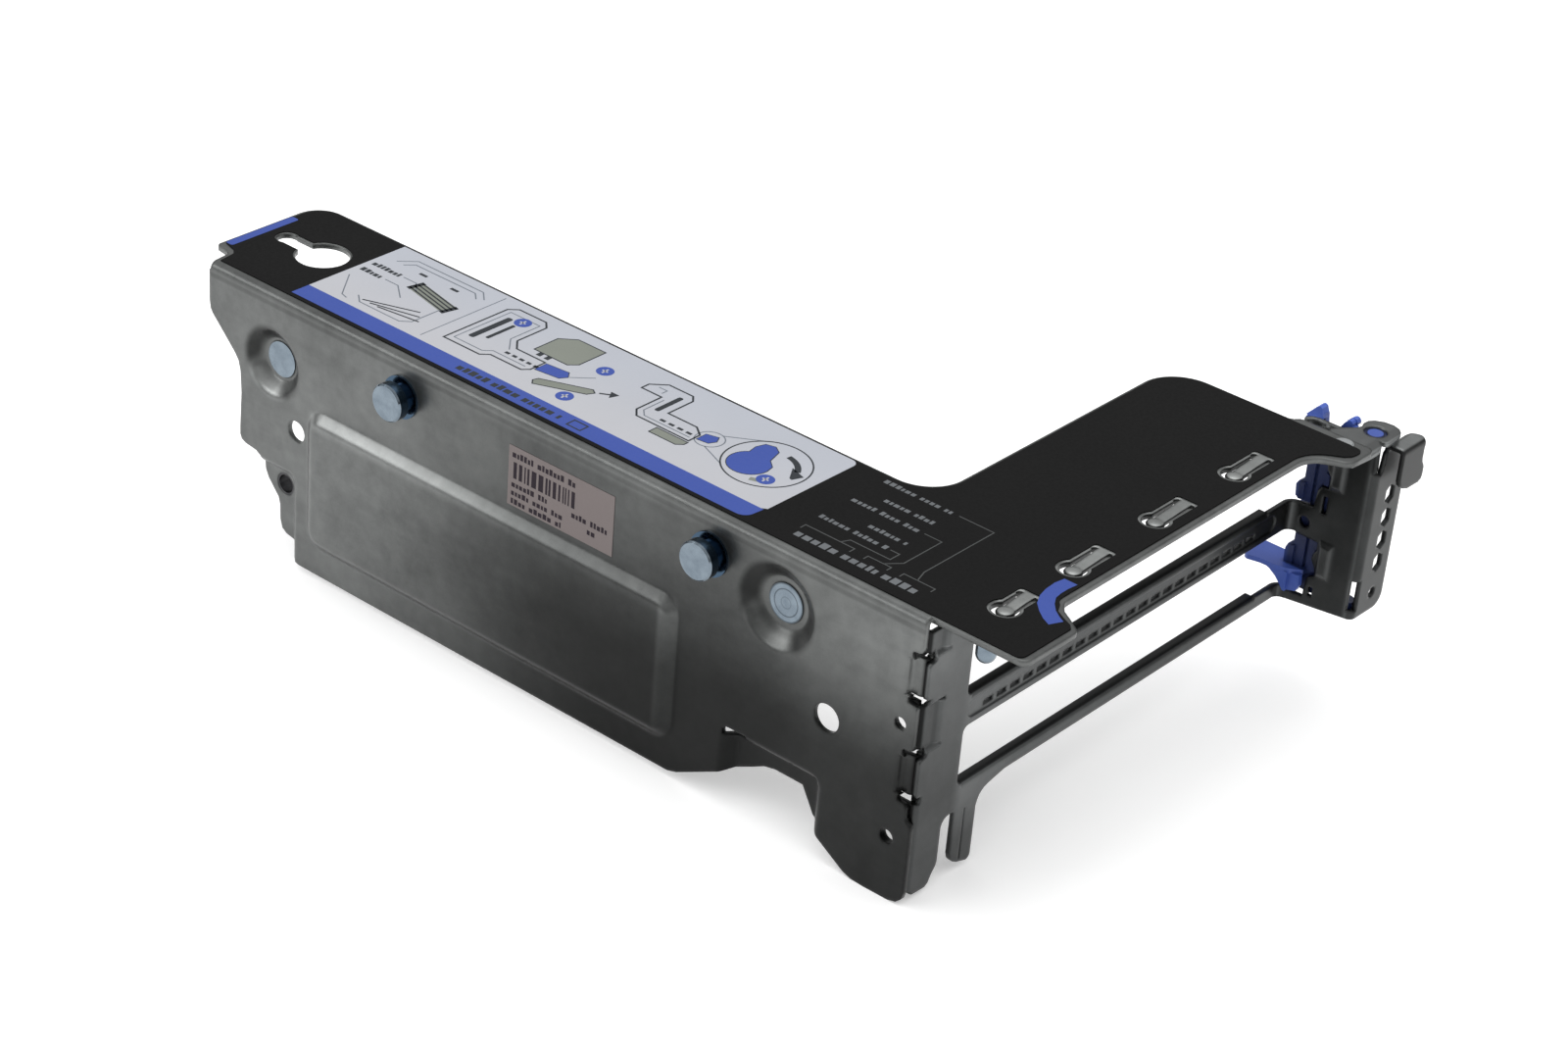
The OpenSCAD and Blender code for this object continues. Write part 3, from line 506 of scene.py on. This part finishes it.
M["zinc"] = zinc("zinc_fastener", (0.145, 0.18, 0.215, 1), (0.215, 0.26, 0.30, 1), painted_light_spots=((painted_shade_disc_rings, 0.45),), side=(0.05, 0.085, 0.13, 1.0))
M["nut"] = zinc("nut_steel", (0.04, 0.04, 0.042, 1), (0.09, 0.09, 0.095, 1), 0.35)
M["rivet"] = zinc("rivet_steel", (0.38, 0.40, 0.41, 1), (0.5, 0.52, 0.53, 1), 0.3)
M["black"] = film("printed_black", srgb(19, 19, 19), 0.55, 0.06)
M["white"] = film("printed_white", srgb(176, 177, 182), 0.5, 0.3, 0.015, far_shade_tint=(0.93, 0.96, 1.0, 1))
M["blue"] = film("printed_blue", srgb(56, 77, 152), 0.5, 0.2, 0.03)
M["line"] = film("printed_line", srgb(46, 50, 54), 0.55, 0.15, 0.1)
M["thin"] = film("printed_thin", srgb(110, 116, 124), 0.55, 0.15, 0.1)
M["grey"] = film("printed_grey", srgb(122, 126, 118), 0.55, 0.2, 0.05)
M["pale"] = film("printed_pale", srgb(98, 101, 104), 0.55, 0.15, 0.1)
M["dim"] = film("printed_dim", srgb(72, 74, 74), 0.55, 0.12, 0.1)
M["paper"] = film("paper_label", srgb(115, 107, 106), 0.7, 0.2, 0.03)
M["ink"] = film("label_ink", srgb(44, 38, 44), 0.7, 0.1, 0.1)
M["plastic"] = plastic("blue_plastic", srgb(64, 88, 165), srgb(57, 79, 155), painted_light_spots=((painted_shade_latch_deep, 0.2), (painted_shade_pivot_gap, 0.12), (painted_highlight_latch_tips, 1.3)))

ASSIGN = {
    "main_bracket": "sheet", "rear_bracket": "slot", "top_label": "black", "side_label": "paper",
    "stud_front": "zinc", "stud_rear": "zinc", "standoff_front": "zinc", "standoff_rear": "zinc",
    "clinch_nut": "nut", "locating_pin": "zinc", "ear_rivet": "rivet", "latch": "plastic",
}
for n, k in ASSIGN.items():
    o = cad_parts[n]
    for sl in o.material_slots:
        sl.material = M[k]


# ------------------------------------------------------------------ print on the two labels
class Ink:
    """Flat printed shapes in millimetres, laid a hair above a label. plane "top" lies in x, y; "side" in x, z."""

    def __init__(self, name, mat, lo, hi, plane="top"):
        self.name, self.mat, self.lo, self.hi, self.plane = name, mat, lo, hi, plane
        self.bm = bmesh.new()

    def at(self, u, v, h):
        if self.plane == "top":
            return Vector((u, v, h)) * MM
        return Vector((u, -h, v)) * MM

    def fill(self, pts):
        area = sum(a[0] * b[1] - b[0] * a[1] for a, b in zip(pts, pts[1:] + pts[:1]))
        if area < 0:
            pts = pts[::-1]
        low = [self.bm.verts.new(self.at(u, v, self.lo)) for u, v in pts]
        top = [self.bm.verts.new(self.at(u, v, self.hi)) for u, v in pts]
        for tri in tessellate_polygon([[Vector((u, v, 0)) for u, v in pts]]):
            a, b, c = tri
            turn = (pts[b][0] - pts[a][0]) * (pts[c][1] - pts[a][1]) - (pts[b][1] - pts[a][1]) * (pts[c][0] - pts[a][0])
            if turn < 0:
                b, c = c, b
            self.bm.faces.new((top[a], top[b], top[c]))
        n = len(pts)
        for i in range(n):
            k = (i + 1) % n
            self.bm.faces.new((low[i], low[k], top[k], top[i]))

    def stroke(self, pts, w, closed=False):
        n = len(pts)
        left, right = [], []
        for i, (u, v) in enumerate(pts):
            a = Vector(pts[i - 1]) if (i > 0 or closed) else None
            b = Vector(pts[(i + 1) % n]) if (i < n - 1 or closed) else None
            p = Vector((u, v))
            d1 = (p - a).normalized() if a is not None else (b - p).normalized()
            d2 = (b - p).normalized() if b is not None else d1
            n1, n2 = Vector((-d1.y, d1.x)), Vector((-d2.y, d2.x))
            m = (n1 + n2)
            m = m.normalized() if m.length > 1e-6 else n1
            k = min(2.5, 1.0 / max(0.3, m.dot(n1))) * w / 2
            left.append(p + m * k)
            right.append(p - m * k)
        vl = [[self.bm.verts.new(self.at(q.x, q.y, h)) for q in left] for h in (self.lo, self.hi)]
        vr = [[self.bm.verts.new(self.at(q.x, q.y, h)) for q in right] for h in (self.lo, self.hi)]
        for i in range(n if closed else n - 1):
            k = (i + 1) % n
            self.bm.faces.new((vr[1][i], vr[1][k], vl[1][k], vl[1][i]))
            self.bm.faces.new((vr[0][i], vr[0][k], vr[1][k], vr[1][i]))
            self.bm.faces.new((vl[1][i], vl[1][k], vl[0][k], vl[0][i]))
        if not closed:
            self.bm.faces.new((vl[0][0], vr[0][0], vr[1][0], vl[1][0]))
            self.bm.faces.new((vr[0][-1], vl[0][-1], vl[1][-1], vr[1][-1]))

    def bar(self, x0, x1, y0, y1, r=0.0):
        if r <= 0:
            self.fill([(x0, y0), (x1, y0), (x1, y1), (x0, y1)])
        else:
            self.fill(ring(x1 - r, y0 + r, r, -90, 0, 5) + ring(x1 - r, y1 - r, r, 0, 90, 5)
                      + ring(x0 + r, y1 - r, r, 90, 180, 5) + ring(x0 + r, y0 + r, r, 180, 270, 5))

    def done(self):
        me = bpy.data.meshes.new(self.name)
        self.bm.to_mesh(me)
        self.bm.free()
        me.materials.append(M[self.mat])
        ob = bpy.data.objects.new(self.name, me)
        scene.collection.objects.link(ob)
        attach(ob, "cage")
        return ob


def ring(cx, cy, r, a0, a1, n):
    return [(cx + r * math.cos(math.radians(a0 + (a1 - a0) * i / n)), cy + r * math.sin(math.radians(a0 + (a1 - a0) * i / n))) for i in range(n + 1)]


def disc(cx, cy, r, n=32):
    return ring(cx, cy, r, 0, 360 * (n - 1) / n, n - 1)


def slant(p, d, length):
    return (p[0] + d[0] * length, p[1] + d[1] * length)


def words(ink, x0, x1, y, h, rnd, block=(0.8, 1.5), gap=0.32):
    """A row of small squarish blocks in short runs, as a line of small print looks from afar."""
    x, run = x0, rnd.randint(4, 7)
    while x < x1 - 0.4:
        w = min(rnd.uniform(*block), x1 - x)
        lift = rnd.choice((0.0, 0.0, 0.22)) * h
        ink.bar(x, x + w, y, y + h * 0.78 + lift)
        x += w + gap
        run -= 1
        if run == 0:
            x += 0.9
            run = rnd.randint(4, 7)


Z0 = 0.19
white = Ink("print_white", "white", Z0, 0.222)
white.fill([(-172.7, 7.9), (-48.0, 7.9), (-46.9, 8.6)] + ring(-48.2, 33.9, 1.7, 0, 90, 6) + [(-172.7, 35.6)])
white.done()

blue = Ink("print_blue", "blue", Z0, 0.222)
blue.fill([(-172.7, 2.95), (-50.3, 2.95)] + ring(-50.0, 5.4, 2.45, -80, 0, 6) + [(-47.3, 7.9), (-172.7, 7.9)])
blue.bar(-199.1, -197.0, 8.4, 27.6, 0.6)
blue.fill([(7.3, 30.3), (6.9, 27.8), (7.1, 24.7), (7.7, 22.1), (9.0, 19.5), (10.9, 17.6), (13.0, 16.0), (15.0, 15.0), (16.3, 17.8),
           (14.7, 18.7), (13.0, 19.9), (11.4, 21.7), (10.3, 23.6), (10.0, 25.6), (10.0, 27.9), (10.3, 30.3)])
blue.done()

Z1 = 0.215
line = Ink("print_line", "line", Z1, 0.242)
thin = Ink("print_thin", "thin", Z1, 0.242)
grey = Ink("print_grey", "grey", Z1, 0.236)
tint = Ink("print_tint", "blue", Z1, 0.250)
dots = Ink("print_dots", "white", Z1, 0.262)
rnd = random.Random(11)

# group one: two rows of small print, leaders, a comb of dark fins and a fan of slanted rails
words(line, -171.3, -163.2, 24.4, 1.5, rnd, (0.6, 1.2), 0.3)
words(line, -171.3, -165.0, 20.9, 1.5, rnd, (0.6, 1.2), 0.3)
thin.stroke([(-162.4, 25.2), (-158.6, 25.2), (-155.8, 22.4)], 0.28)
thin.stroke([(-164.2, 21.6), (-160.4, 21.6), (-156.0, 18.0)], 0.28)
grey.fill([(-158.6, 22.6), (-145.4, 19.6), (-144.6, 23.4), (-157.8, 26.4)])
for k in range(4):
    line.stroke([(-158.4 + 0.27 * k, 23.1 + 0.98 * k), (-145.4 + 0.27 * k, 20.1 + 0.98 * k)], 0.42)
line.fill([(-158.8, 22.5), (-157.6, 22.2), (-156.7, 26.3), (-157.9, 26.6)])
line.fill([(-146.4, 19.7), (-145.2, 19.4), (-144.3, 23.5), (-145.5, 23.8)])
for k in range(3):
    line.stroke([(-160.6 + 2.2 * k, 11.6), (-148.4 + 1.4 * k, 16.4 - 1.6 * k)], 0.4)
thin.stroke([(-162.6, 12.4), (-160.2, 10.4), (-148.6, 10.4), (-146.6, 12.2), (-146.6, 20.2)], 0.3)
thin.stroke([(-168.8, 29.4), (-165.6, 32.8), (-146.4, 32.8), (-143.8, 30.4)], 0.3)
thin.stroke([(-166.6, 29.2), (-164.8, 31.2), (-147.2, 31.2), (-145.2, 29.4)], 0.3)
line.bar(-161.4, -159.2, 28.6, 29.4)
line.bar(-152.2, -150.0, 28.6, 29.4)
thin.stroke([(-170.8, 17.6), (-165.2, 10.2), (-163.4, 9.7)], 0.26)
thin.stroke([(-141.3, 9.4), (-141.3, 34.4)], 0.24)

# group two: a stepped plate seen from above with two marked screws, a grey blade and a pin
plate = [(-137.6, 12.4), (-127.4, 12.4), (-125.8, 14.0), (-117.2, 14.0), (-116.0, 15.4), (-116.0, 19.8), (-124.0, 19.8), (-126.4, 22.4), (-126.4, 31.0),
         (-128.2, 32.8), (-135.8, 32.8), (-137.6, 31.0)]
line.stroke(plate, 0.42, True)
thin.stroke([(-136.2, 14.0), (-128.2, 14.0), (-126.6, 15.6), (-117.6, 15.6)], 0.26)
thin.stroke([(-136.2, 14.0), (-136.2, 30.6), (-127.9, 30.6), (-127.9, 22.0), (-124.8, 18.4)], 0.26)
line.bar(-134.9, -133.4, 16.6, 28.6, 0.5)
line.bar(-131.9, -131.0, 18.6, 26.8, 0.3)
for k in range(5):
    line.bar(-124.6 + 2.0 * k, -123.4 + 2.0 * k, 16.7, 17.5)
grey.fill([(-121.6, 22.4), (-112.4, 22.4), (-110.8, 24.2), (-110.8, 32.2), (-118.4, 32.2), (-121.6, 29.4)])
line.stroke([(-121.6, 22.4), (-112.4, 22.4), (-110.8, 24.2), (-110.8, 32.2), (-118.4, 32.2), (-121.6, 29.4)], 0.3, True)
line.bar(-119.8, -118.6, 20.9, 22.3)
line.bar(-117.6, -116.4, 20.9, 22.3)
grey.fill([(-112.6, 12.6), (-111.6, 11.4), (-101.2, 16.2), (-100.4, 17.8), (-101.6, 18.6), (-112.2, 13.9)])
line.stroke([(-112.6, 12.6), (-111.6, 11.4), (-101.2, 16.2), (-100.4, 17.8), (-101.6, 18.6), (-112.2, 13.9)], 0.28, True)
line.stroke([(-99.8, 18.4), (-97.9, 19.6)], 0.5)
line.fill([(-98.6, 20.7), (-96.4, 20.7), (-97.2, 18.4)])
tint.fill([(-115.4, 16.2), (-109.6, 17.0), (-108.6, 18.6), (-109.8, 20.2), (-115.4, 19.6)])
line.stroke([(-115.4, 16.2), (-109.6, 17.0), (-108.6, 18.6), (-109.8, 20.2), (-115.4, 19.6)], 0.36, True)
thin.stroke([(-108.4, 18.8), (-104.6, 22.6)], 0.26)

# group three: a long arm with a knob, and a round close-up with a turning arrow
arm = [(-95.8, 28.8), (-92.8, 31.6), (-86.4, 31.6), (-85.0, 30.0), (-85.0, 22.6), (-77.4, 22.6), (-74.8, 20.6), (-74.8, 17.2), (-88.6, 17.2), (-90.4, 19.2), (-90.4, 26.6), (-95.8, 26.6)]
line.stroke(arm, 0.42, True)
thin.stroke([(-89.2, 26.0), (-89.2, 20.0), (-87.6, 18.4), (-75.6, 18.4)], 0.26)
line.bar(-88.0, -86.8, 21.6, 29.4, 0.45)
thin.stroke([(-93.6, 29.4), (-91.4, 29.4), (-91.4, 27.8)], 0.26)
for k in range(4):
    line.bar(-84.4 + 2.3 * k, -83.0 + 2.3 * k, 19.2, 19.95)
grey.fill([(-82.6, 14.2), (-75.6, 14.2), (-74.4, 15.4), (-74.4, 16.6), (-82.6, 16.6)])
line.stroke([(-82.6, 14.2), (-75.6, 14.2), (-74.4, 15.4), (-74.4, 16.6), (-82.6, 16.6)], 0.28, True)
tint.fill([(-74.2, 19.0), (-71.6, 19.4), (-70.8, 21.0), (-71.6, 22.6), (-74.2, 21.8)])
line.stroke([(-74.2, 19.0), (-71.6, 19.4), (-70.8, 21.0), (-71.6, 22.6), (-74.2, 21.8)], 0.36, True)
CX, CY, CR = -58.4, 21.7, 9.1
line.stroke(disc(CX, CY, CR, 56), 0.34, True)
thin.stroke(disc(-72.4, 20.8, 3.1, 28), 0.26, True)
thin.stroke([(-71.4, 23.8), (-62.4, 29.9)], 0.26)
thin.stroke([(-71.2, 17.9), (-64.6, 15.1)], 0.26)
knob = ring(CX - 2.6, CY - 2.2, 4.5, 130, 360, 20) + [(CX + 1.5, CY - 0.2), (CX - 0.4, CY + 1.4), (CX - 1.4, CY + 5.2), (CX - 3.2, CY + 6.4), (CX - 5.2, CY + 5.8), (CX - 5.9, CY + 3.6)]
tint.fill(knob)
line.stroke(knob, 0.4, True)
line.stroke(disc(CX - 2.6, CY - 2.4, 2.3, 24), 0.34, True)
line.stroke([(CX - 5.0, CY + 1.6), (CX - 3.9, CY + 4.8)], 0.34)
line.stroke([(CX - 3.4, CY + 1.9), (CX - 2.5, CY + 4.9)], 0.34)
arc_o = ring(CX + 0.4, CY - 1.2, 7.2, 28, 84, 10)
arc_i = ring(CX + 0.4, CY - 1.2, 5.9, 84, 28, 10)
line.fill(arc_o + arc_i)
line.fill([(CX + 4.4, CY + 2.6), (CX + 8.3, CY + 1.3), (CX + 7.3, CY - 1.2), (CX + 6.6, CY - 1.0)])
grey.fill([(CX + 1.6, CY - 7.4), (CX + 5.2, CY - 6.0), (CX + 4.6, CY - 4.8), (CX + 1.2, CY - 6.2)])

# blue marks with a plain white tick bar
for cx, cy in ((-131.2, 29.0), (-105.4, 26.2), (-103.6, 12.4), (-54.6, 16.9)):
    tint.fill(disc(cx, cy, 1.9, 28))
    dots.bar(cx - 0.2, cx + 0.2, cy - 1.0, cy + 1.0)
    dots.bar(cx - 0.75, cx + 0.75, cy - 0.2, cy + 0.2)

# on the stripe: one row of small dark blocks and an open square
words(line, -126.5, -98.0, 4.5, 1.9, rnd, (0.9, 1.8), 0.42)
line.stroke([(-95.4, 4.3), (-91.8, 4.3), (-91.8, 6.7), (-95.4, 6.7)], 0.36, True)
for p in (line, thin, grey, tint, dots):
    p.done()

# on the black end: rows of small blocks with bracket rules
pale = Ink("print_pale", "pale", Z0, 0.222)
dim = Ink("print_dim", "dim", Z0, 0.222)
rnd = random.Random(5)
for x0, x1, y, h in ((-38.6, -21.4, 33.2, 1.35), (-33.9, -22.0, 27.4, 1.35), (-38.4, -21.6, 23.0, 1.35), (-29.8, -20.6, 17.6, 1.35), (-38.6, -22.2, 13.6, 1.35)):
    words(pale, x0, x1, y, h, rnd, (0.6, 1.2), 0.35)
words(pale, -37.6, -8.6, 5.0, 2.0, rnd, (0.9, 1.7), 0.5)
dim.stroke([(-20.4, 33.9), (-12.0, 33.9), (-12.0, 12.6), (-11.0, 9.3)], 0.26)
dim.stroke([(-20.8, 23.7), (-16.6, 23.7), (-16.6, 12.2), (-19.0, 9.4)], 0.26)
dim.stroke([(-21.4, 14.2), (-19.2, 14.2), (-19.2, 11.4), (-28.8, 11.4), (-29.6, 9.6)], 0.26)
dim.stroke([(-14.2, 7.9), (-14.2, 9.3), (-6.8, 9.3), (-6.8, 7.9)], 0.26)
dim.stroke([(-22.8, 7.9), (-22.8, 9.3), (-17.2, 9.3), (-17.2, 7.9)], 0.26)
dim.stroke([(-38.2, 7.9), (-38.2, 9.5), (-26.2, 9.5), (-26.2, 7.9)], 0.26)
pale.done()
dim.done()

# side label: rows of small blocks and a plain stripe field
S0, S1 = 0.095, 0.118
ink = Ink("print_ink", "ink", S0, S1, "side")
rnd = random.Random(23)
words(ink, -105.3, -87.6, -9.6, 1.35, rnd, (0.55, 1.05), 0.28)
x = -104.9
while x < -87.9:
    w = rnd.choice((0.35, 0.55, 0.9, 1.3))
    ink.bar(x, min(x + w, -87.5), -14.3, -10.6)
    x += w + rnd.choice((0.3, 0.45, 0.6))
words(ink, -105.3, -95.6, -16.3, 1.2, rnd, (0.55, 1.05), 0.28)
words(ink, -105.3, -90.8, -18.2, 1.2, rnd, (0.55, 1.05), 0.28)
words(ink, -105.3, -91.6, -20.1, 1.2, rnd, (0.55, 1.05), 0.28)
words(ink, -88.9, -79.4, -16.4, 1.25, rnd, (0.55, 1.0), 0.28)
words(ink, -84.6, -82.0, -18.4, 1.25, rnd, (0.6, 1.1), 0.28)
ink.done()

# ------------------------------------------------------------------ stage
FLOOR_Z = CAD_BOX[0][2]
bm = bmesh.new()
bmesh.ops.create_grid(bm, x_segments=1, y_segments=1, size=6.0)
me = bpy.data.meshes.new("floor")
bm.to_mesh(me)
bm.free()
floor = bpy.data.objects.new("floor", me)
floor.location = (0, 0, FLOOR_Z)
scene.collection.objects.link(floor)
ft = Tree("floor_paper")
ft.set(Base_Color=(0.9, 0.9, 0.9, 1), Roughness=0.9, Emission_Color=(1, 1, 1, 1), Emission_Strength=0.28)
me.materials.append(ft.mat)

world = bpy.data.worlds.new("studio")
scene.world = world
world.use_nodes = True
wt = world.node_tree
wt.nodes.clear()
wout = wt.nodes.new("ShaderNodeOutputWorld")
bg = wt.nodes.new("ShaderNodeBackground")
wco = wt.nodes.new("ShaderNodeTexCoord")
wsep = wt.nodes.new("ShaderNodeSeparateXYZ")
wlow = wt.nodes.new("ShaderNodeMapRange")     # dim horizon, even sky
whigh = wt.nodes.new("ShaderNodeMapRange")    # large soft ceiling light
wadd = wt.nodes.new("ShaderNodeMath")
wadd.operation = "ADD"
for node, vals in ((wlow, (0.02, 0.36, 0.15, 0.85)), (whigh, (0.70, 0.88, 0.0, 1.3))):
    node.interpolation_type = "SMOOTHSTEP"
    for key, val in zip(("From Min", "From Max", "To Min", "To Max"), vals):
        node.inputs[key].default_value = val
    wt.links.new(wsep.outputs[2], node.inputs["Value"])
wt.links.new(wco.outputs["Generated"], wsep.inputs[0])
wt.links.new(wlow.outputs["Result"], wadd.inputs[0])
wt.links.new(whigh.outputs["Result"], wadd.inputs[1])
wt.links.new(wadd.outputs[0], bg.inputs["Strength"])
wt.links.new(bg.outputs["Background"], wout.inputs["Surface"])


def area(name, loc, target, size, power):
    d = bpy.data.lights.new(name, "AREA")
    d.shape = "RECTANGLE"
    d.size, d.size_y = size
    d.energy = power
    o = bpy.data.objects.new(name, d)
    o.location = loc
    o.rotation_euler = (Vector(target) - Vector(loc)).to_track_quat("-Z", "Y").to_euler()
    scene.collection.objects.link(o)
    return o


area("softbox_top", (-0.2, 0.1, 1.4), (-0.1, 0.05, 0), (0.8, 0.8), 3)
area("softbox_left", (-0.85, -0.95, 0.56), (-0.1, 0, -0.02), (0.95, 0.42), 4.5)
